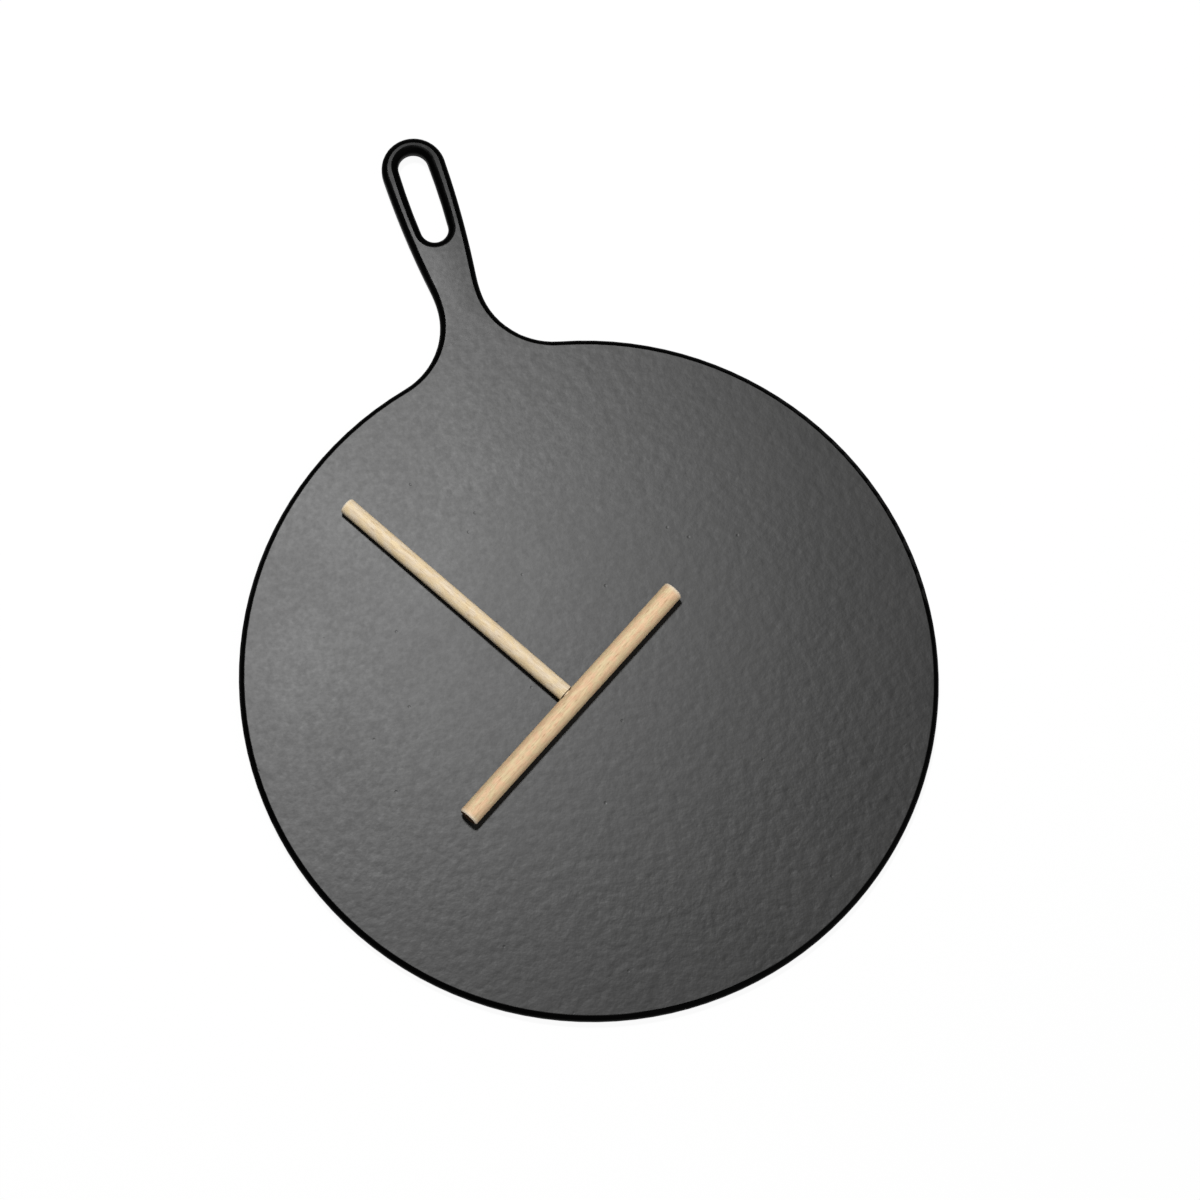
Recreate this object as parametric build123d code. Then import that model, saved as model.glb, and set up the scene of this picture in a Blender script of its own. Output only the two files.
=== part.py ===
from build123d import *
import os
from math import asin, degrees, radians, sqrt, tan

# Crepe pan poured as one iron casting, with the loose T-shaped beech spreader that lies on it.
# Millimetres. +Z is up, the origin is the middle of the base where it rests, +Y runs along the handle.

os.makedirs("parts", exist_ok=True)

# Plate, with the ground base that stands a little proud of its underside and flares out to meet it
plate_radius = 150.0
plate_thickness = 5.5
base_radius = 122.0
base_height = 0.8
base_flare = 0.8

# Handle from above: a fillet out of the plate's edge, a narrow neck and a loop with a round end
root_fillet_radius = 33.5
neck_width = 20.6
neck_to_loop_end = 62.3
loop_width = 28.6
neck_hollow_share = 0.125

# Handle from the side: its top rises from the root on, its underside only from beyond the neck
handle_rise = 5.0
handle_bend_radius = 300.0
root_bend_share = 0.5
neck_to_lower_bend = 21.8
loop_thickness = 7.6

# Hanging slot in the loop, a little wider towards the end of the handle
bar_width = 7.6
loop_end_wall = 6.8
slot_length = 42.4
slot_taper = 0.5
slot_side_radius = 300.0

# Rounded edges of the casting, as shares of the walls that carry them
rim_top_share = 0.47
rim_bottom_share = 0.38
slot_top_share = 0.43
slot_bottom_share = 0.34
bar_crown_share = 0.84

# A wall counts as upright, and a face as broad, by how far its normal leans out of level
upright_share = 0.2
broad_share = 0.8

# Spreader: a thin stick with a tenon, glued square into a thicker crossbar, a little off its middle
crossbar_length = 132.8
crossbar_diameter = 9.0
stick_length = 130.2
stick_diameter = 7.35
stick_offset = 1.3
tenon_diameter = 5.0
bore_back_wall = 1.9
drill_point_angle = 118.0
dowel_end_chamfer = 0.5
glue_gap = 0.05

# Where the spreader lies on the plate
spreader_x = -12.6
spreader_y = -11.5
spreader_turn = 29.9
resting_gap = 0.1

# How far a cutting shape runs past the surface that it leaves
overrun = 20.0

plate_bottom = base_height
plate_top = plate_bottom + plate_thickness

neck_half = neck_width / 2
loop_half = loop_width / 2
root_reach = plate_radius + root_fillet_radius
neck_y = sqrt(root_reach**2 - (neck_half + root_fillet_radius) ** 2)
loop_end_y = neck_y + neck_to_loop_end
tip_y = loop_end_y + loop_half

slot_far_radius = loop_half - bar_width
slot_near_radius = slot_far_radius - slot_taper
slot_far_y = tip_y - loop_end_wall - slot_far_radius
slot_near_y = tip_y - loop_end_wall - slot_length + slot_near_radius

tip_top = plate_top + handle_rise
tip_bottom = tip_top - loop_thickness
upper_bend_y = plate_radius + root_bend_share * root_fillet_radius
lower_bend_y = neck_y + neck_to_lower_bend

# Roundings, each no larger than its wall leaves room for
top_edge_round = rim_top_share * plate_thickness
bottom_edge_round = rim_bottom_share * plate_thickness
slot_start_y = slot_near_y - slot_near_radius
slot_start_top = handle_rise * (slot_start_y - upper_bend_y) / (tip_y - upper_bend_y)
slot_start_bottom = (tip_bottom - plate_bottom) * (slot_start_y - lower_bend_y) / (tip_y - lower_bend_y)
slot_wall = plate_thickness + slot_start_top - max(slot_start_bottom, 0)
slot_top_round = min(bar_crown_share * (bar_width - top_edge_round), slot_top_share * slot_wall)
slot_bottom_round = min(bar_crown_share * (bar_width - bottom_edge_round), slot_bottom_share * slot_wall)

crossbar_radius = crossbar_diameter / 2
stick_radius = stick_diameter / 2
tenon_radius = tenon_diameter / 2
bore_radius = tenon_radius + glue_gap


def plan_outline():
    """Plate and handle from above, where every arc runs smoothly into the next."""
    root = Vector(neck_half + root_fillet_radius, neck_y) * (plate_radius / root_reach)
    neck = Vector(neck_half, neck_y)
    loop_side = Vector(loop_half, loop_end_y)
    turn = neck + (loop_side - neck) * neck_hollow_share
    plate_arc = ThreePointArc((-root.X, root.Y), (0, -plate_radius), root)
    end_arc = ThreePointArc(loop_side, (0, tip_y), (-loop_half, loop_end_y))
    root_arc = TangentArc(neck, root, tangent=(0, -1))
    hollow_arc = TangentArc(neck, turn, tangent=(0, 1))
    belly_arc = TangentArc(loop_side, turn, tangent=(0, -1))
    right_side = [root_arc, hollow_arc, belly_arc]
    left_side = [mirror(edge, about=Plane.YZ) for edge in right_side]
    return make_face([plate_arc, end_arc] + right_side + left_side)


def bent_line(level, bend_y, tip_level):
    """Line that runs level to the bend, then straight through its height at the tip and past it."""
    end_y = tip_y + overrun
    end_level = level + (tip_level - level) * (end_y - bend_y) / (tip_y - bend_y)
    corners = [(-plate_radius - overrun, level), (bend_y, level), (end_y, end_level)]
    return FilletPolyline(corners, radius=handle_bend_radius)


def side_outline():
    """Section along the handle: the level plate, an easy bend on each face, then a rise past the tip."""
    top_line = bent_line(plate_top, upper_bend_y, tip_top)
    bottom_line = bent_line(plate_bottom, lower_bend_y, tip_bottom)
    front_line = Line(top_line @ 0, bottom_line @ 0)
    end_line = Line(top_line @ 1, bottom_line @ 1)
    return make_face(top_line.edges() + bottom_line.edges() + [front_line, end_line])


def slot_outline():
    """Hanging slot: two round ends joined by long sides that bow out a little."""
    near_reach = slot_side_radius - slot_near_radius
    far_reach = slot_side_radius - slot_far_radius
    span = slot_far_y - slot_near_y
    along = (span**2 + near_reach**2 - far_reach**2) / (2 * span)
    side_centre = Vector(-sqrt(near_reach**2 - along**2), slot_near_y + along)
    near_touch = side_centre + (Vector(0, slot_near_y) - side_centre) * (slot_side_radius / near_reach)
    far_touch = side_centre + (Vector(0, slot_far_y) - side_centre) * (slot_side_radius / far_reach)
    outward = (near_touch - side_centre).normalized()
    right_side = TangentArc(near_touch, far_touch, tangent=(-outward.Y, outward.X))
    left_side = mirror(right_side, about=Plane.YZ)
    near_end = ThreePointArc((-near_touch.X, near_touch.Y), (0, slot_start_y), near_touch)
    far_end = ThreePointArc((-far_touch.X, far_touch.Y), (0, slot_far_y + slot_far_radius), far_touch)
    return make_face([near_end, right_side, far_end, left_side])


def rim_edges(body, facing):
    """Sharp edges where the broad faces that look up (1) or down (-1) meet an upright wall."""
    upright = [face for face in body.faces() if abs(face.normal_at().Z) < upright_share]
    wall_edges = ShapeList([edge for face in upright for edge in face.edges()])
    broad = [face for face in body.faces() if facing * face.normal_at().Z > broad_share]
    return ShapeList([edge for face in broad for edge in face.edges() if edge in wall_edges])


def make_base():
    """Ground base under the plate, whose low wall slopes out to the underside as a casting's does."""
    start = (Align.CENTER, Align.CENTER, Align.MIN)
    return Cone(base_radius, base_radius + base_flare, base_height, align=start)


def make_pan():
    """The casting: the outline cut to the side section, rounded, pierced and given its base."""
    plan = extrude(plan_outline(), amount=tip_top + overrun)
    section = extrude(Plane.YZ * side_outline(), amount=plate_radius + overrun, both=True)
    body = plan & section
    body = fillet(rim_edges(body, 1), top_edge_round)
    body = fillet(rim_edges(body, -1), bottom_edge_round)
    body -= extrude(slot_outline(), amount=tip_top + overrun)
    body = fillet(rim_edges(body, 1), slot_top_round)
    body = fillet(rim_edges(body, -1), slot_bottom_round)
    return body + make_base()


def lay_down(piece):
    """Moves a piece of the spreader from its own axes to where it lies on the plate."""
    height = plate_top + resting_gap + max(crossbar_radius, stick_radius)
    return Pos(spreader_x, spreader_y, height) * Rot(Z=spreader_turn) * piece


def stick_axes():
    """Axes of the stick, which starts on the crossbar's axis and dips until its end touches down."""
    drop = max(crossbar_radius - stick_radius, 0)
    dip = degrees(asin(drop / stick_length))
    return Pos(X=stick_offset) * Rot(X=-dip) * Rot(X=-90)


def bore_depths():
    """Distances along the stick's axis: the bore's flat rim and the tip of its drill point."""
    tip = -crossbar_radius + bore_back_wall
    rim = tip + bore_radius / tan(radians(drill_point_angle / 2))
    return rim, tip


def make_crossbar():
    """Turned dowel along X with a blind bore square into its side, ended by the drill's point."""
    bar = Rot(Y=90) * Cylinder(crossbar_radius, crossbar_length)
    bar = chamfer(bar.edges().filter_by(GeomType.CIRCLE), dowel_end_chamfer)
    rim, tip = bore_depths()
    start = (Align.CENTER, Align.CENTER, Align.MIN)
    shaft = Cylinder(bore_radius, crossbar_diameter, align=start)
    point = Cone(0, bore_radius, rim - tip, align=start)
    bore = Pos(Z=rim) * shaft + Pos(Z=tip) * point
    return lay_down(bar - stick_axes() * bore)


def make_stick():
    """Turned dowel with a square shoulder against the crossbar and a tenon inside its bore."""
    shoulder = crossbar_radius + glue_gap
    rim, tip = bore_depths()
    tenon_start = rim + glue_gap
    start = (Align.CENTER, Align.CENTER, Align.MIN)
    dowel = Pos(Z=shoulder) * Cylinder(stick_radius, stick_length - shoulder, align=start)
    dowel = chamfer(dowel.edges().sort_by(Axis.Z)[-1], dowel_end_chamfer)
    tenon = Pos(Z=tenon_start) * Cylinder(tenon_radius, shoulder - tenon_start, align=start)
    tenon = chamfer(tenon.edges().sort_by(Axis.Z)[0], dowel_end_chamfer)
    return lay_down(stick_axes() * (dowel + tenon))


export_step(make_pan(), "parts/pan.step")
export_step(make_crossbar(), "parts/spreader_crossbar.step")
export_step(make_stick(), "parts/spreader_stick.step")
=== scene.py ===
from math import cos, pi, radians, sin

import bpy
from mathutils import Matrix, Vector


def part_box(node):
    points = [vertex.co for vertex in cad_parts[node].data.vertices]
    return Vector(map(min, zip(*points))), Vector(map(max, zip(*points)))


# Crepe pan with the wooden batter spreader that lies on it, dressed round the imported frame.
# Metres. +Z is up, the pan stands on z = 0 and its handle runs along +Y.
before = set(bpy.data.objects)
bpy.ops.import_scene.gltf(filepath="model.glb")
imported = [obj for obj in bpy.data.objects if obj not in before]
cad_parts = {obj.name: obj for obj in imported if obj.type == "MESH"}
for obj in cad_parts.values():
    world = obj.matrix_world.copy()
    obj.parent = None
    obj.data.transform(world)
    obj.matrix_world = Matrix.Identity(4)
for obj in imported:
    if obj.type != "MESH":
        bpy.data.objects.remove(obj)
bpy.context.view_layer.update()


# The pan: one iron casting, plate and loop handle together, oiled and baked to a matt black skin.
# Its broad faces keep the fine orange-peel grain of the sand mould. The roundings and the loop are
# smooth, and painted shade makes them blacker. The base is turned flat and blacked.


class Wire:
    """One output of a shader node, so that arithmetic on it adds the nodes for it."""

    def __init__(self, finish, socket):
        self.finish = finish
        self.socket = socket

    def math(self, operation, *values):
        """Adds a Math node for these values, each of them a number or a wire."""
        return self.finish.node("ShaderNodeMath", {"operation": operation}, dict(enumerate(values)))

    def __add__(self, other):
        return self.math("ADD", self, other)

    __radd__ = __add__

    def __mul__(self, other):
        return self.math("MULTIPLY", self, other)

    __rmul__ = __mul__

    def __sub__(self, other):
        return self.math("SUBTRACT", self, other)

    def __rsub__(self, other):
        return self.math("SUBTRACT", other, self)

    def __pow__(self, other):
        return self.math("POWER", self, other)

    def __abs__(self):
        return self.math("ABSOLUTE", self)

    def sine(self):
        return self.math("SINE", self)


class Finish:
    """The shader nodes of a material or of the sky, wired by name."""

    def __init__(self, owner):
        owner.use_nodes = True
        self.tree = owner.node_tree
        self.tree.nodes.clear()

    def node(self, kind, settings=None, feeds=None, out=0):
        """Adds a node: settings first, then what feeds its sockets. Gives back one of its outputs."""
        made = self.tree.nodes.new(kind)
        for name, value in (settings or {}).items():
            setattr(made, name, value)
        for name, value in (feeds or {}).items():
            if isinstance(value, Wire):
                self.tree.links.new(value.socket, made.inputs[name])
            else:
                made.inputs[name].default_value = value
        return Wire(self, made.outputs[out]) if made.outputs else None

    def parts(self, vector):
        """The three numbers of a vector."""
        split = self.node("ShaderNodeSeparateXYZ", feeds={0: vector})
        return [Wire(self, output) for output in split.socket.node.outputs]

    def ramp(self, value, low, high, start=0.0, end=1.0):
        """Eases from start to end while the value goes from low to high."""
        settings = {"interpolation_type": "SMOOTHSTEP", "clamp": True}
        source = {"Value": value, "From Min": low, "From Max": high}
        return self.node("ShaderNodeMapRange", settings, source | {"To Min": start, "To Max": end})

    def noise(self, vector, size, detail):
        """Soft random pattern whose features are about this size."""
        feeds = {"Vector": vector, "Scale": 1 / size, "Detail": detail}
        return self.node("ShaderNodeTexNoise", feeds=feeds)

    def blend(self, amount, first, second):
        """Mixes two colours: the first at an amount of 0, the second at 1."""
        # Sockets 0, 6 and 7 are the Mix node's factor and its two colours, output 2 is its colour
        feeds = {0: amount, 6: first, 7: second}
        return self.node("ShaderNodeMix", {"data_type": "RGBA"}, feeds, out=2)

    def bump(self, depth, height):
        """Normal of a relief: a height of 1 stands this deep in metres above a height of 0."""
        feeds = {"Strength": 1.0, "Distance": depth, "Height": height}
        return self.node("ShaderNodeBump", feeds=feeds)

    def surface(self, tone, roughness, gloss_level, normal):
        """Shader of an opaque surface with a gloss over its tone."""
        looks = {"Base Color": tone, "Roughness": roughness, "Specular IOR Level": gloss_level}
        return self.node("ShaderNodeBsdfPrincipled", feeds=looks | {"Normal": normal})

    def mix(self, amount, first, second):
        """Mixes two shaders: the first at an amount of 0, the second at 1."""
        return self.node("ShaderNodeMixShader", feeds={0: amount, 1: first, 2: second})


def linear(level):
    """Light value, by the sRGB curve, of a tone as it shows on a screen, from 0 to 255."""
    share = level / 255
    return share / 12.92 if share <= 0.04045 else ((share + 0.055) / 1.055) ** 2.4


def colour(red, green, blue):
    """Colour for a socket, from the three tones that a screen shows."""
    return (linear(red), linear(green), linear(blue), 1.0)


iron_face_colour = colour(23, 23, 22.5)
iron_worn_colour = colour(30, 29.5, 29)
# Tone and gloss of a black, nearly glossless copy of the skin: painted shade for the roundings
iron_rim_shade_colour = colour(3, 3, 3)
face_gloss_level = 0.40
face_gloss_roughness = 0.42
rim_gloss_level = 0.02
rim_gloss_roughness = 0.36

# Middle of what a noise gives
noise_middle = 0.5

# Large clouds in the skin, worn to a paler tone and a little duller
cloud_size = 0.045
cloud_begins = 0.35
cloud_is_full = 0.65
cloud_roughness = 0.05

# How level the surface still is, by its normal's rise, where a rim's painted shade begins and is full
rim_begins = 0.9978
rim_is_full = 0.990
rim_relief = 0.25

# Painted shade: the loop loses its sheen towards its tip, and the right side of the handle a little
grip_start = 0.190
grip_end = 0.262
loop_tip_face_share = 0.32
handle_side_shade_reach = 0.007
handle_side_shade_loss = 0.28
neck_start = 0.155
neck_full = 0.180

# Grain of the sand mould: swirls, wider ripples and an orange peel, with specks in the gloss only
swirl_size = 0.0025
ripple_size = 0.00625
peel_per_metre = 220.0
speck_size = 0.0016
grain_depth = 0.00010
grain_height = 0.5
swirl_share = 0.7
speck_share = 0.3
crinkle_roughness = 0.145

# How strong the grain is: from the middle to the margin, from front to back and from left to right
middle_end = 0.055
margin_start = 0.110
middle_grain = 0.8
margin_grain = 1.2
front_y = -0.13
back_y = 0.08
front_grain = 1.2
back_grain = 0.6
left_x = -0.08
right_x = 0.06
left_grain = 0.95
right_grain = 1.35

# Small pits far apart, deepest within their floor's radius, and darkened there with painted shade
pit_spacing = 0.016
pit_radius = 0.0008
pit_floor_radius = 0.00032
pit_height = 0.4
pit_shade = 0.6

# Lathe marks on the ground base, which fade out just above the plane that it rests on
lathe_pitch = 0.0005
groove_height = 0.1
base_fade_start = 0.00005
base_fade_end = 0.00015


def cast_iron():
    """Matt black seasoned iron: grained on the flats, smooth on the roundings, blacker by painted
    shade.
    """
    material = bpy.data.materials.new("seasoned_cast_iron")
    skin = Finish(material)
    place = skin.node("ShaderNodeTexCoord", out="Object")
    lean = skin.parts(skin.node("ShaderNodeTexCoord", out="Normal"))[2]
    across, along, height = skin.parts(place)
    reach = (across * across + along * along) ** 0.5

    flat = skin.ramp(abs(lean), rim_is_full, rim_begins)
    # Painted shade: less of the lit face towards the loop's tip
    loop_face_share = skin.ramp(along, grip_start, grip_end, start=1.0, end=loop_tip_face_share)
    on_handle = skin.ramp(along, neck_start, neck_full)
    # Painted shade on the handle's right side, standing in for the shade of a crowned top
    handle_side_shade = skin.ramp(across, -handle_side_shade_reach, handle_side_shade_reach, end=handle_side_shade_loss) * on_handle
    # Where this share falls below 1, the surface takes the painted shade of the rim
    face_share = flat * loop_face_share * (1 - handle_side_shade)

    swirl = skin.noise(place, swirl_size, detail=2.0)
    ripple = skin.noise(place, ripple_size, detail=1.0)
    speck = skin.noise(place, speck_size, detail=1.0)
    cloud = skin.noise(place, cloud_size, detail=3.0)
    peel_feeds = {"Vector": place, "Scale": peel_per_metre, "Smoothness": 1.0}
    peel = skin.node("ShaderNodeTexVoronoi", {"feature": "SMOOTH_F1"}, peel_feeds, out="Distance")
    pit_feeds = {"Vector": place, "Scale": 1 / pit_spacing}
    pit_reach = skin.node("ShaderNodeTexVoronoi", feeds=pit_feeds, out="Distance") * pit_spacing
    pit = skin.ramp(pit_reach, pit_floor_radius, pit_radius, start=1.0, end=0.0)
    groove = (reach * (2 * pi / lathe_pitch)).sine()
    on_base = skin.ramp(height, base_fade_start, base_fade_end, start=1.0, end=0.0)

    outward = skin.ramp(reach, middle_end, margin_start, middle_grain, margin_grain)
    backward = skin.ramp(along, front_y, back_y, front_grain, back_grain)
    rightward = skin.ramp(across, left_x, right_x, left_grain, right_grain)
    depth = outward * backward * rightward
    grain = (swirl + ripple + peel) * grain_height * depth
    cast_relief = (grain - pit * pit_height) * (rim_relief + flat * (1 - rim_relief))
    relief = cast_relief * (1 - on_base) + groove * on_base * groove_height
    bump = skin.bump(grain_depth, relief)

    worn = skin.ramp(cloud, cloud_begins, cloud_is_full)
    tone = skin.blend(worn, iron_face_colour, iron_worn_colour)
    # Painted shade in the pits, by how deep they are
    tone = skin.blend(pit * pit_shade, tone, iron_rim_shade_colour)
    crinkle = (swirl * swirl_share + speck * speck_share - noise_middle) * depth
    roughness = face_gloss_roughness + (cloud - noise_middle) * cloud_roughness
    roughness = roughness + crinkle * crinkle_roughness
    face = skin.surface(tone, roughness, face_gloss_level, bump)
    # The rim surface is painted shade: a black, nearly glossless copy of the face
    rim_shade_surface = skin.surface(iron_rim_shade_colour, rim_gloss_roughness, rim_gloss_level, bump)
    skin.node("ShaderNodeOutputMaterial", feeds={"Surface": skin.mix(face_share, rim_shade_surface, face)})
    return material


def dress(node, material):
    """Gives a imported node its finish."""
    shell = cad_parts[node].data
    shell.materials.clear()
    shell.materials.append(material)


dress("pan", cast_iron())


# The spreader's crossbar: a beech dowel, turned, sawn square and lightly sanded, left bare.
# Its blind hole, bored into its side a little off the middle, takes the stick's glued tenon.

crossbar_low, crossbar_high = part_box("spreader_crossbar")
crossbar_middle = (crossbar_low + crossbar_high) / 2
crossbar_half = 0.0664
# How strongly painted shade darkens the crossbar's sides
crossbar_painted_side_shade = 0.33
crossbar_tones = (colour(232, 210, 166), colour(240, 200, 161), colour(150, 108, 70))
spreader_turn = radians(29.9)

wood_gloss_level = 0.3
wood_roughness = 0.62
end_roughness = 0.2
fibre_roughness = 0.1
# Tone of the painted shade on the dowels' sides
painted_side_shade_colour = colour(196, 170, 134)
sanded_colour = colour(240, 226, 204)
# The end grain's own brown, deepened with painted shade
end_grain_and_shade_colour = colour(92, 66, 44)

# How far a normal leans along the dowel, or rises, where a kind of surface begins and is all there
ease_begins = 0.3
ease_is_full = 0.6
end_begins = 0.80
end_is_full = 0.95
# Below this rise a dowel's sides take painted shade
top_begins = 0.80
top_is_full = 0.97

# The sanding pales the last of the dowel's length and the chamfer of its end
sanded_length = 0.0022
end_ease = 0.0006
sanded_paleness = 0.4
eased_paleness = 0.5

# Growth rings, which lie aslant in the dowel and wander along it
ring_pitch = 0.0021
ring_side = 0.8
ring_rise = 0.6
ring_wander = 14.0
stripe_begins = -0.4
stripe_darkness = 0.08
stripe_height = 0.2

# Patches, flecks and fibres: the levels of their noise that count, their darkness and their relief
patch_begins = 0.36
patch_is_full = 0.64
fleck_begins = 0.60
fleck_is_full = 0.70
fleck_darkness = 0.25
fleck_height = 0.5
fibre_pale = 0.42
fibre_height = 0.6
fibre_depth = 0.00004


def beech(name, middle, turn, half_length, tones, painted_side_shade, seed):
    """Bare beech, grain along the dowel: patches, flecks, sanded ends, brown end grain; painted shade
    on the sides and end grain.
    """
    pale, warm, dark = tones
    material = bpy.data.materials.new(name)
    wood = Finish(material)
    place = wood.node("ShaderNodeTexCoord", out="Object")
    facing = wood.node("ShaderNodeTexCoord", out="Normal")
    unturn = {"rotation_type": "Z_AXIS", "invert": True}
    place_feeds = {"Vector": place, "Center": middle, "Angle": turn}
    laid = wood.node("ShaderNodeVectorRotate", unturn, place_feeds)
    laid = wood.node("ShaderNodeVectorMath", {"operation": "SUBTRACT"}, {0: laid, 1: middle})
    turned = wood.node("ShaderNodeVectorRotate", unturn, {"Vector": facing, "Angle": turn})
    length, side, rise = wood.parts(laid)
    endwise, _, upward = wood.parts(turned)
    end = wood.ramp(abs(endwise), end_begins, end_is_full)
    eased = wood.ramp(abs(endwise), ease_begins, ease_is_full) - end
    sanded = wood.ramp(abs(length), half_length - sanded_length, half_length - end_ease)

    def streaks(stretch, size, shift, detail=1.0):
        """Noise drawn out along the grain: its features are this size across."""
        squeeze = {0: laid, 1: (1 / stretch, 1.0, 1.0)}
        drawn = wood.node("ShaderNodeVectorMath", {"operation": "MULTIPLY"}, squeeze)
        feeds = {"Vector": drawn, "W": seed + shift, "Scale": 1 / size, "Detail": detail}
        return wood.node("ShaderNodeTexNoise", {"noise_dimensions": "4D"}, feeds)

    bend = streaks(stretch=18.0, size=0.006, shift=0)
    rings = (side * ring_side + rise * ring_rise) * (2 * pi / ring_pitch) + bend * ring_wander
    stripe = wood.ramp(rings.sine(), stripe_begins, 1.0)
    patch = wood.ramp(streaks(stretch=1.8, size=0.0021, shift=3), patch_begins, patch_is_full)
    fleck = wood.ramp(streaks(stretch=4.5, size=0.00075, shift=7), fleck_begins, fleck_is_full)
    fibre = streaks(stretch=9.0, size=0.0005, shift=11, detail=2.0)

    tone = wood.blend(patch, pale, warm)
    darkness = fleck * fleck_darkness + stripe * stripe_darkness + (fibre - fibre_pale)
    tone = wood.blend(darkness, tone, dark)
    # Painted shade on the sides, below the dowel's top
    painted_shade_amount = wood.ramp(upward, top_begins, top_is_full, start=painted_side_shade, end=0.0)
    tone = wood.blend(painted_shade_amount, tone, painted_side_shade_colour)
    tone = wood.blend(sanded * sanded_paleness + eased * eased_paleness, tone, sanded_colour)
    # End grain: its own brown deepened with painted shade
    tone = wood.blend(end, tone, end_grain_and_shade_colour)
    relief = fibre * fibre_height - fleck * fleck_height - stripe * stripe_height
    bump = wood.bump(fibre_depth, relief)
    roughness = wood_roughness + end * end_roughness + (fibre - noise_middle) * fibre_roughness
    shader = wood.surface(tone, roughness, wood_gloss_level, bump)
    wood.node("ShaderNodeOutputMaterial", feeds={"Surface": shader})
    return material


crossbar_beech = beech(
    "crossbar_beech",
    crossbar_middle,
    spreader_turn,
    crossbar_half,
    crossbar_tones,
    crossbar_painted_side_shade,
    seed=2.0,
)
dress("spreader_crossbar", crossbar_beech)


# The spreader's stick: a thinner beech dowel from paler stock, its grip end sawn square and eased.
# Its other end is turned down to a tenon and glued square into the crossbar.

stick_low, stick_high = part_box("spreader_stick")
stick_middle = (stick_low + stick_high) / 2
stick_turn = spreader_turn + pi / 2
stick_half = 0.0656
# The stick's sides get no painted shade
stick_painted_side_shade = 0.0
stick_tones = (colour(237, 219, 191), colour(240, 217, 176), colour(165, 131, 92))

stick_beech = beech(
    "stick_beech",
    stick_middle,
    stick_turn,
    stick_half,
    stick_tones,
    stick_painted_side_shade,
    seed=31.0,
)
dress("spreader_stick", stick_beech)


# The table that the pan stands on: a plain white sheet far wider than the pan. It shows as white,
# and keeps a little of the soft shadow under the rim.

floor_half = 8.0
floor_colour = colour(225, 225, 225)
sheet_white = 1.035
sheet_glow = 0.90


def white_sheet():
    """White to a camera or a reflection, with a little of its own shading left in it."""
    material = bpy.data.materials.new("white_sheet")
    paper = Finish(material)
    matt = paper.node("ShaderNodeBsdfDiffuse", feeds={"Color": floor_colour})
    white_feeds = {"Color": (1, 1, 1, 1), "Strength": sheet_white}
    glow = paper.node("ShaderNodeEmission", feeds=white_feeds)
    seen = paper.node("ShaderNodeLightPath", out="Is Camera Ray")
    mirrored = paper.node("ShaderNodeLightPath", out="Is Glossy Ray")
    through = paper.node("ShaderNodeLightPath", out="Is Transmission Ray")
    both = paper.mix((seen + mirrored + through) * sheet_glow, matt, glow)
    paper.node("ShaderNodeOutputMaterial", feeds={"Surface": both})
    return material


floor_mesh = bpy.data.meshes.new("table_sheet")
corner_signs = ((-1, -1), (1, -1), (1, 1), (-1, 1))
corners = [(x * floor_half, y * floor_half, 0) for x, y in corner_signs]
floor_mesh.from_pydata(corners, [], [(0, 1, 2, 3)])
floor_mesh.materials.append(white_sheet())
floor = bpy.data.objects.new("table_sheet", floor_mesh)
bpy.context.scene.collection.objects.link(floor)


# The light: one soft lamp high beyond the handle, which lays the sheen on the plate, a broad window
# over the near right side, and a dim room round about that is brighter near the table's level.

lamp_place = Vector((-0.036, 0.440, 1.280))
lamp_width = 0.17
lamp_watts = 13.6

lamp_data = bpy.data.lights.new("key_lamp", "AREA")
lamp_data.shape = "DISK"
lamp_data.size = lamp_width
lamp_data.energy = lamp_watts
lamp = bpy.data.objects.new("key_lamp", lamp_data)
lamp.location = lamp_place
lamp.rotation_mode = "QUATERNION"
lamp.rotation_quaternion = (-lamp_place).to_track_quat("-Z", "Y")
bpy.context.scene.collection.objects.link(lamp)

room_dim = 0.06
haze_bright = 0.5
haze_low = 0.03
haze_high = 0.22
window_bright = 0.9
window_way = Vector((0.38, -0.66, 0.64)).normalized()
window_edge = 0.65
window_heart = 0.95

room = bpy.data.worlds.new("pale_room")
bpy.context.scene.world = room
air = Finish(room)
way = air.node("ShaderNodeTexCoord", out="Generated")
towards = {0: way, 1: window_way}
nearness = air.node("ShaderNodeVectorMath", {"operation": "DOT_PRODUCT"}, towards, out="Value")
haze = air.ramp(air.parts(way)[2], haze_low, haze_high, start=haze_bright, end=room_dim)
brightness = haze + air.ramp(nearness, window_edge, window_heart, end=window_bright)
sky = air.node("ShaderNodeBackground", feeds={"Color": (1, 1, 1, 1), "Strength": brightness})
air.node("ShaderNodeOutputWorld", feeds={"Surface": sky})


# The camera: high over the near side of the plate, a little to the left of the handle's line, with
# a long lens and rolled a little, so that the handle points up and to the left.

view_elevation = radians(74.93)
view_azimuth = radians(-28.765)
view_roll = radians(10.043)
view_distance = 1.5
view_aim = Vector((0.01494, 0.02998, 0.0))
view_lens = 104.2
view_sensor = 36.0

level_right = Vector((cos(view_azimuth), sin(view_azimuth), 0))
level_back = Vector((sin(view_azimuth), -cos(view_azimuth), 0))
back = level_back * cos(view_elevation) + Vector((0, 0, sin(view_elevation)))
level_up = back.cross(level_right)
right = level_right * cos(view_roll) + level_up * sin(view_roll)
upward = level_up * cos(view_roll) - level_right * sin(view_roll)
camera_data = bpy.data.cameras.new("camera")
camera_data.lens = view_lens
camera_data.sensor_width = view_sensor
camera = bpy.data.objects.new("camera", camera_data)
camera_turn = Matrix((right, upward, back)).transposed().to_4x4()
camera.matrix_world = Matrix.Translation(view_aim + back * view_distance) @ camera_turn
bpy.context.scene.collection.objects.link(camera)
bpy.context.scene.camera = camera

bpy.context.scene.view_settings.view_transform = "Standard"
